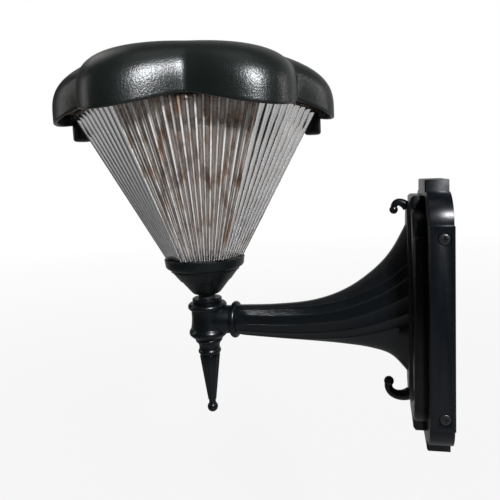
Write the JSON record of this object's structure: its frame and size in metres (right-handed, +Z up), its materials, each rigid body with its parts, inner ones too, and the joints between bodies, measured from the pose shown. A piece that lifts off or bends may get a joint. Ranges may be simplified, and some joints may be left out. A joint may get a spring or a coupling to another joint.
{
  "type": "wall lantern",
  "caption": "Wall lantern with a petal-shaped cap over a clear ribbed lens, on a fluted arm and a stepped wall plate; the head turns on a rod, and clamp knobs hold the lens up.",
  "frame": {"origin": "middle of the wall face, between the wall strap's screw holes", "axes": "+X into the wall, +Z up; the lamp stands out towards -X"},
  "size_m": [0.2846, 0.2072, 0.2867],
  "materials": {
    "cap_paint": "semi-gloss black hammered paint on cast aluminium",
    "arm_paint": "gloss black paint on cast aluminium",
    "plate_paint": "satin black paint on cast aluminium, fine texture",
    "seal_rubber": "matt",
    "backing_board": "matt",
    "solar_cell": "dark blue, gloss",
    "panel_glass": "clear",
    "lens_clear": "clear, ribbed",
    "tray_paint": "satin grey",
    "screw_steel": "bright",
    "light_board": "matt white",
    "light_chip": "yellow, gloss",
    "black_plastic": "matt",
    "button_red": "red, gloss",
    "cell_sleeve": "green, gloss",
    "contact_nickel": "bright",
    "circuit_board": "green, satin",
    "knob_plastic": "satin black",
    "insert_brass": "bright",
    "bush_nylon": "black nylon, matt",
    "strap_zinc": "zinc plated",
    "screw_black": "black, satin"
  },
  "bodies": {
    "bracket": {"wall_strap": "strap_zinc", "back_plate": "plate_paint", "front_plate": "plate_paint", "side_screws": "screw_black", "arm_screws": "screw_steel", "fluted_arm": "arm_paint", "arm_collar": "arm_paint", "arm_set_screw": "screw_black", "tee_body": "arm_paint", "neck_bush": "bush_nylon"},
    "lamp_head": {"lens_cup": "cap_paint", "cup_seal": "seal_rubber", "cup_screws": "screw_steel", "ribbed_lens": "lens_clear", "lens_gasket": "seal_rubber", "lamp_tray": "tray_paint", "tray_screws": "screw_steel", "light_board": "light_board", "light_chips": "light_chip", "board_screws": "screw_steel", "button_bezel": "black_plastic", "switch_body": "black_plastic", "battery_holder": "black_plastic", "battery_cell": "cell_sleeve", "battery_contacts": "contact_nickel", "battery_strap": "black_plastic", "control_board": "circuit_board", "control_parts": "black_plastic", "control_screws": "screw_steel", "stud_inserts": "insert_brass", "petal_cap": "cap_paint", "panel_gasket": "seal_rubber", "panel_backing": "backing_board", "solar_cells": "solar_cell", "panel_glass": "panel_glass", "through_rod": "screw_steel", "rod_nut": "screw_steel", "rod_washer": "screw_steel"},
    "knob_right": {"clamp_knob_right": "knob_plastic", "knob_stud_right": "screw_steel"},
    "knob_left": {"clamp_knob_left": "knob_plastic", "knob_stud_left": "screw_steel"},
    "button": {"power_button": "button_red"},
    "finial": {"finial": "arm_paint"}
  },
  "joints": [
    {"name": "head_turn", "type": "hinge", "parent": "bracket", "child": "lamp_head", "pos_m": [-0.1813, 0, 0], "axis": [0, 0, 1], "continuous": true},
    {"name": "knob_right_turn", "type": "hinge", "parent": "lamp_head", "child": "knob_right", "pos_m": [-0.09748, 0.03645, 0.14], "axis": [0, 0, 1], "continuous": true},
    {"name": "knob_left_turn", "type": "hinge", "parent": "lamp_head", "child": "knob_left", "pos_m": [-0.27192, -0.01193, 0.14], "axis": [0, 0, 1], "continuous": true},
    {"name": "button_press", "type": "slide", "parent": "lamp_head", "child": "button", "axis": [0, 0, 1], "range_m": [0, 0.002], "stiffness_N_per_m": 400, "springref_m": -0.001},
    {"name": "finial_turn", "type": "hinge", "parent": "lamp_head", "child": "finial", "pos_m": [-0.1813, 0, -0.05], "axis": [0, 0, 1], "continuous": true}
  ]
}
